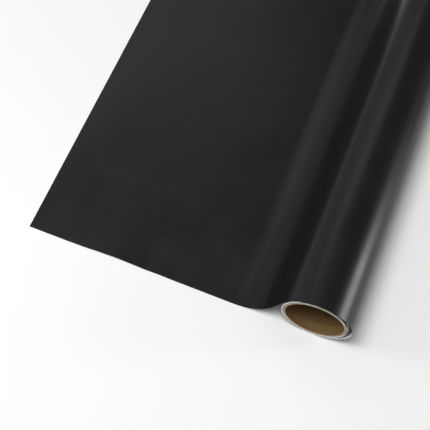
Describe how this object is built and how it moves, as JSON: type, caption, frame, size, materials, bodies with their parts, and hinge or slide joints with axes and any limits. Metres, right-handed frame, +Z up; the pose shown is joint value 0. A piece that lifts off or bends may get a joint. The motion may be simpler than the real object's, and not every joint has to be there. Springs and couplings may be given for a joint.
{
  "type": "roll of self-adhesive sign vinyl",
  "caption": "Short roll of black self-adhesive vinyl on a paperboard core, its free end paid out flat, with a loose outer wrap.",
  "frame": {"origin": "on the floor, in the middle of the outline of the roll and its paid-out sheet", "axes": "+Y along the roll's axis and across the web, -X the way the sheet is pulled off the roll, +Z up"},
  "size_m": [0.4404, 0.61, 0.0906],
  "materials": {
    "film": "satin black calendered vinyl with a very fine texture",
    "adhesive": "clear pressure-sensitive adhesive seen against the black film, glossy",
    "liner": "white coated release paper",
    "core_kraft": "brown kraft ply, dull",
    "core_board": "tan core board, cut edge",
    "tape": "double-sided tissue tape"
  },
  "bodies": {
    "bridge": {"bridge_liner": "liner", "bridge_adhesive": "adhesive", "bridge_film": "film"},
    "roll": {"core_inner_ply": "core_kraft", "core_body_ply_1": "core_board", "core_body_ply_2": "core_board", "core_body_ply_3": "core_board", "core_body_ply_4": "core_board", "core_outer_ply": "core_kraft", "core_start_tape": "tape", "wound_liner": "liner", "wound_adhesive": "adhesive", "wound_film": "film"},
    "sheet": {"sheet_liner": "liner", "sheet_adhesive": "adhesive", "sheet_film": "film"},
    "peel": {"peel_adhesive": "adhesive", "peel_film": "film"}
  },
  "joints": [
    {"name": "roll_turn", "type": "hinge", "parent": "bridge", "child": "roll", "pos_m": [0.17077, 0, 0.04503], "axis": [0, -1, 0], "range_deg": [0, 315]},
    {"name": "sheet_pull", "type": "slide", "parent": "bridge", "child": "sheet", "axis": [-1, 0, 0], "range_m": [0, 0.25]},
    {"name": "film_peel", "type": "hinge", "parent": "sheet", "child": "peel", "pos_m": [-0.18023, 0, 0.00025], "axis": [0, 1, 0], "range_deg": [0, 150]}
  ],
  "couplings": [
    {"joint": "sheet_pull", "follows": "roll_turn", "m_per_rad": 0.045}
  ]
}
